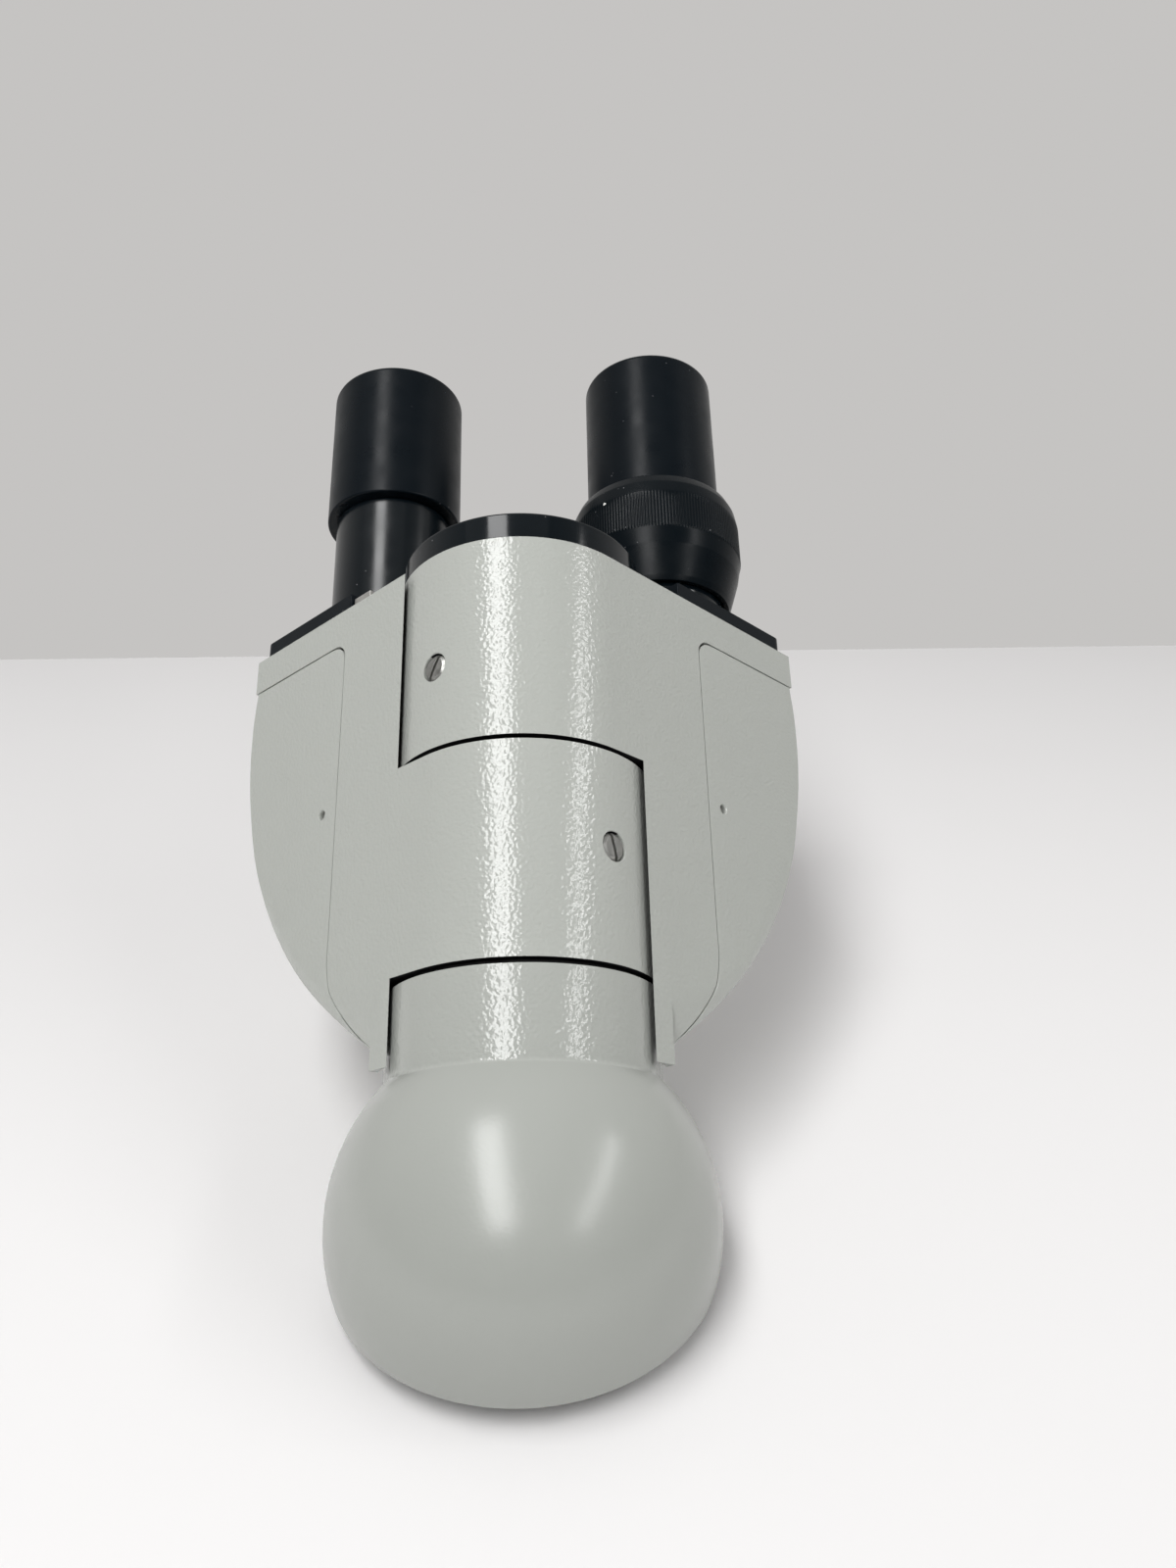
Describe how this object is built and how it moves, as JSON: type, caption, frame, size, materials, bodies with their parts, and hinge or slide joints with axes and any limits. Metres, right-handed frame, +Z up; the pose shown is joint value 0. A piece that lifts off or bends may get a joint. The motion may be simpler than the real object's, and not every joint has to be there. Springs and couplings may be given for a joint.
{
  "type": "binocular microscope head",
  "caption": "Inclined binocular head for a laboratory microscope: domed dovetail base, hinged prism wings, eye tubes with eyepieces and a knurled diopter ring.",
  "frame": {"origin": "centre of the flat underside of the dovetail ring, where the head seats on a microscope stand", "axes": "+Z up along the light entering the base, +Y towards the side that the hinge and the eye tubes lean to, +X to the right wing, the one with the diopter ring"},
  "size_m": [0.12, 0.2005, 0.1439],
  "materials": {
    "grey_paint": "light grey hammered enamel on a light-alloy casting, semi-gloss with fine orange peel",
    "grey_paint_dome": "light grey enamel on a light-alloy casting, a little more matt than the wings",
    "black_metal": "black anodised and lacquered, semi-gloss",
    "black_plastic": "satin black",
    "dark_metal": "blackened steel",
    "steel": "turned bare steel",
    "brass": "turned brass",
    "rubber": "black rubber",
    "glass": "polished optical glass"
  },
  "bodies": {
    "base": {"dome_housing": "grey_paint_dome", "base_plate": "dark_metal", "base_screw_1": "steel", "base_screw_2": "steel", "base_screw_3": "steel", "dovetail_ring": "steel", "dovetail_screw_1": "steel", "dovetail_screw_2": "steel", "dovetail_screw_3": "steel", "tube_lens_cell": "black_metal", "tube_lens": "glass", "deflecting_prism": "glass", "prism_cradle": "black_metal", "hinge_shaft": "steel", "roller_axle": "steel", "lower_hinge_washer": "brass"},
    "left_wing": {"left_housing": "grey_paint", "left_cover": "grey_paint", "left_cover_screw": "steel", "left_knuckle_screw": "steel", "left_top_plate": "black_metal", "ipd_index_plate": "steel", "left_eye_tube": "black_metal", "left_prism_bench": "black_metal", "splitter_lower_prism": "glass", "splitter_upper_prism": "glass", "left_tube_prism": "glass", "left_lower_bush": "brass", "left_upper_bush": "brass", "left_coupling_ring": "steel", "upper_hinge_washer": "brass"},
    "right_wing": {"right_housing": "grey_paint", "right_cover": "grey_paint", "right_cover_screw": "steel", "right_knuckle_screw": "steel", "right_top_plate": "black_metal", "right_tube_guide": "black_metal", "ipd_scale_disc": "black_metal", "right_prism_bench": "black_metal", "turning_prism": "glass", "right_tube_prism": "glass", "right_bush": "brass", "right_coupling_ring": "steel"},
    "diopter_ring": {"diopter_ring": "black_metal"},
    "focus_sleeve": {"right_eye_tube": "black_metal"},
    "left_eyepiece": {"left_eyepiece_barrel": "black_plastic", "left_eyepiece_sleeve": "steel", "left_field_lens": "glass", "left_eye_lens": "glass", "left_lens_ring": "black_metal"},
    "right_eyepiece": {"right_eyepiece_barrel": "black_plastic", "right_eyepiece_sleeve": "steel", "right_field_lens": "glass", "right_eye_lens": "glass", "right_lens_ring": "black_metal"},
    "coupling_roller": {"coupling_roller": "rubber"}
  },
  "joints": [
    {"name": "left_wing_turn", "type": "hinge", "parent": "base", "child": "left_wing", "pos_m": [0, 0, 0.0103], "axis": [0, 0.7071, 0.7071], "range_deg": [-7.5, 23.3]},
    {"name": "right_wing_turn", "type": "hinge", "parent": "base", "child": "right_wing", "pos_m": [0, 0, 0.0103], "axis": [0, 0.7071, 0.7071], "range_deg": [-23.3, 7.5]},
    {"name": "roller_spin", "type": "hinge", "parent": "base", "child": "coupling_roller", "pos_m": [0, 0.0432, 0.08165], "axis": [0, -0.7071, 0.7071], "range_deg": [-70, 215]},
    {"name": "diopter_turn", "type": "hinge", "parent": "focus_sleeve", "child": "diopter_ring", "pos_m": [0.03081, 0.10378, 0.08117], "axis": [0, 0.7071, 0.7071], "range_deg": [-150, 150]},
    {"name": "focus_slide", "type": "slide", "parent": "right_wing", "child": "focus_sleeve", "axis": [0, 0.7071, 0.7071], "range_m": [-0.0034, 0.0034]},
    {"name": "left_eyepiece_pull", "type": "slide", "parent": "left_wing", "child": "left_eyepiece", "axis": [0, 0.7071, 0.7071], "range_m": [0, 0.04]},
    {"name": "right_eyepiece_pull", "type": "slide", "parent": "focus_sleeve", "child": "right_eyepiece", "axis": [0, 0.7071, 0.7071], "range_m": [0, 0.04]}
  ],
  "couplings": [
    {"joint": "right_wing_turn", "follows": "left_wing_turn", "ratio": -1},
    {"joint": "roller_spin", "follows": "left_wing_turn", "ratio": 9.0682},
    {"joint": "focus_slide", "follows": "diopter_turn", "m_per_rad": 0.001273}
  ]
}
